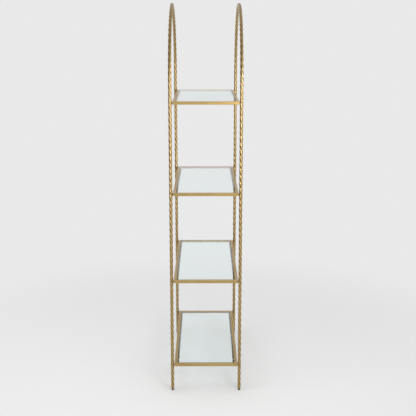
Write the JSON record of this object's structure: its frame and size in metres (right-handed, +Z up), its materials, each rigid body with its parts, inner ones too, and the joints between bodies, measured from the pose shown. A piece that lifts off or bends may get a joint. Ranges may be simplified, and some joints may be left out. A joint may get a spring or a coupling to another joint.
{
  "type": "etagere",
  "caption": "Tall open etagere: arched hoops of twisted square bar carry gold metal frames with inset glass shelves, on small black levelling feet.",
  "frame": {"origin": "on the floor under the middle of the etagere", "axes": "+X along the width, in the plane of the hoops; +Y from the front hoop to the back hoop; +Z up"},
  "size_m": [0.762, 0.356, 1.93],
  "materials": {
    "antique_gold": "rubbed antique gold, satin",
    "shelf_glass": "clear, polished edges",
    "clear_rubber": "clear, soft",
    "dark_bronze": "dark bronze, satin",
    "aged_brass": "aged, satin",
    "plain_steel": "zinc plated",
    "black_nylon": "moulded, matt"
  },
  "bodies": {
    "frame": {"hoop_front": "antique_gold", "hoop_back": "antique_gold", "shelf_1_front_rail": "antique_gold", "shelf_1_back_rail": "antique_gold", "shelf_1_left_rail": "antique_gold", "shelf_1_right_rail": "antique_gold", "shelf_1_ledges": "antique_gold", "shelf_1_bumpers": "clear_rubber", "shelf_1_spacers": "dark_bronze", "shelf_1_bolts": "aged_brass", "shelf_1_weld_nuts": "plain_steel", "shelf_2_front_rail": "antique_gold", "shelf_2_back_rail": "antique_gold", "shelf_2_left_rail": "antique_gold", "shelf_2_right_rail": "antique_gold", "shelf_2_ledges": "antique_gold", "shelf_2_bumpers": "clear_rubber", "shelf_2_spacers": "dark_bronze", "shelf_2_bolts": "aged_brass", "shelf_2_weld_nuts": "plain_steel", "shelf_3_front_rail": "antique_gold", "shelf_3_back_rail": "antique_gold", "shelf_3_left_rail": "antique_gold", "shelf_3_right_rail": "antique_gold", "shelf_3_ledges": "antique_gold", "shelf_3_bumpers": "clear_rubber", "shelf_3_spacers": "dark_bronze", "shelf_3_bolts": "aged_brass", "shelf_3_weld_nuts": "plain_steel", "shelf_4_front_rail": "antique_gold", "shelf_4_back_rail": "antique_gold", "shelf_4_left_rail": "antique_gold", "shelf_4_right_rail": "antique_gold", "shelf_4_ledges": "antique_gold", "shelf_4_bumpers": "clear_rubber", "shelf_4_spacers": "dark_bronze", "shelf_4_bolts": "aged_brass", "shelf_4_weld_nuts": "plain_steel"},
    "shelf_1_panel": {"shelf_1_glass": "shelf_glass"},
    "shelf_2_panel": {"shelf_2_glass": "shelf_glass"},
    "shelf_3_panel": {"shelf_3_glass": "shelf_glass"},
    "shelf_4_panel": {"shelf_4_glass": "shelf_glass"},
    "foot_front_left_screw": {"foot_front_left_stud": "plain_steel"},
    "foot_front_left_sole": {"foot_front_left_pad": "black_nylon"},
    "foot_front_right_screw": {"foot_front_right_stud": "plain_steel"},
    "foot_front_right_sole": {"foot_front_right_pad": "black_nylon"},
    "foot_back_left_screw": {"foot_back_left_stud": "plain_steel"},
    "foot_back_left_sole": {"foot_back_left_pad": "black_nylon"},
    "foot_back_right_screw": {"foot_back_right_stud": "plain_steel"},
    "foot_back_right_sole": {"foot_back_right_pad": "black_nylon"}
  },
  "joints": [
    {"name": "shelf_1_lift", "type": "slide", "parent": "frame", "child": "shelf_1_panel", "axis": [0, 0, 1], "range_m": [0, 0.06]},
    {"name": "shelf_2_lift", "type": "slide", "parent": "frame", "child": "shelf_2_panel", "axis": [0, 0, 1], "range_m": [0, 0.06]},
    {"name": "shelf_3_lift", "type": "slide", "parent": "frame", "child": "shelf_3_panel", "axis": [0, 0, 1], "range_m": [0, 0.06]},
    {"name": "shelf_4_lift", "type": "slide", "parent": "frame", "child": "shelf_4_panel", "axis": [0, 0, 1], "range_m": [0, 0.06]},
    {"name": "foot_front_left_travel", "type": "slide", "parent": "frame", "child": "foot_front_left_screw", "axis": [0, 0, -1], "range_m": [0, 0.01]},
    {"name": "foot_front_left_turn", "type": "hinge", "parent": "foot_front_left_screw", "child": "foot_front_left_sole", "pos_m": [-0.37202, -0.16902, 0], "axis": [0, 0, -1], "range_deg": [0, 3600]},
    {"name": "foot_front_right_travel", "type": "slide", "parent": "frame", "child": "foot_front_right_screw", "axis": [0, 0, -1], "range_m": [0, 0.01]},
    {"name": "foot_front_right_turn", "type": "hinge", "parent": "foot_front_right_screw", "child": "foot_front_right_sole", "pos_m": [0.37202, -0.16902, 0], "axis": [0, 0, -1], "range_deg": [0, 3600]},
    {"name": "foot_back_left_travel", "type": "slide", "parent": "frame", "child": "foot_back_left_screw", "axis": [0, 0, -1], "range_m": [0, 0.01]},
    {"name": "foot_back_left_turn", "type": "hinge", "parent": "foot_back_left_screw", "child": "foot_back_left_sole", "pos_m": [-0.37202, 0.16902, 0], "axis": [0, 0, -1], "range_deg": [0, 3600]},
    {"name": "foot_back_right_travel", "type": "slide", "parent": "frame", "child": "foot_back_right_screw", "axis": [0, 0, -1], "range_m": [0, 0.01]},
    {"name": "foot_back_right_turn", "type": "hinge", "parent": "foot_back_right_screw", "child": "foot_back_right_sole", "pos_m": [0.37202, 0.16902, 0], "axis": [0, 0, -1], "range_deg": [0, 3600]}
  ],
  "couplings": [
    {"joint": "foot_front_left_turn", "follows": "foot_front_left_travel", "rad_per_m": 6283.2},
    {"joint": "foot_front_right_turn", "follows": "foot_front_right_travel", "rad_per_m": 6283.2},
    {"joint": "foot_back_left_turn", "follows": "foot_back_left_travel", "rad_per_m": 6283.2},
    {"joint": "foot_back_right_turn", "follows": "foot_back_right_travel", "rad_per_m": 6283.2}
  ]
}
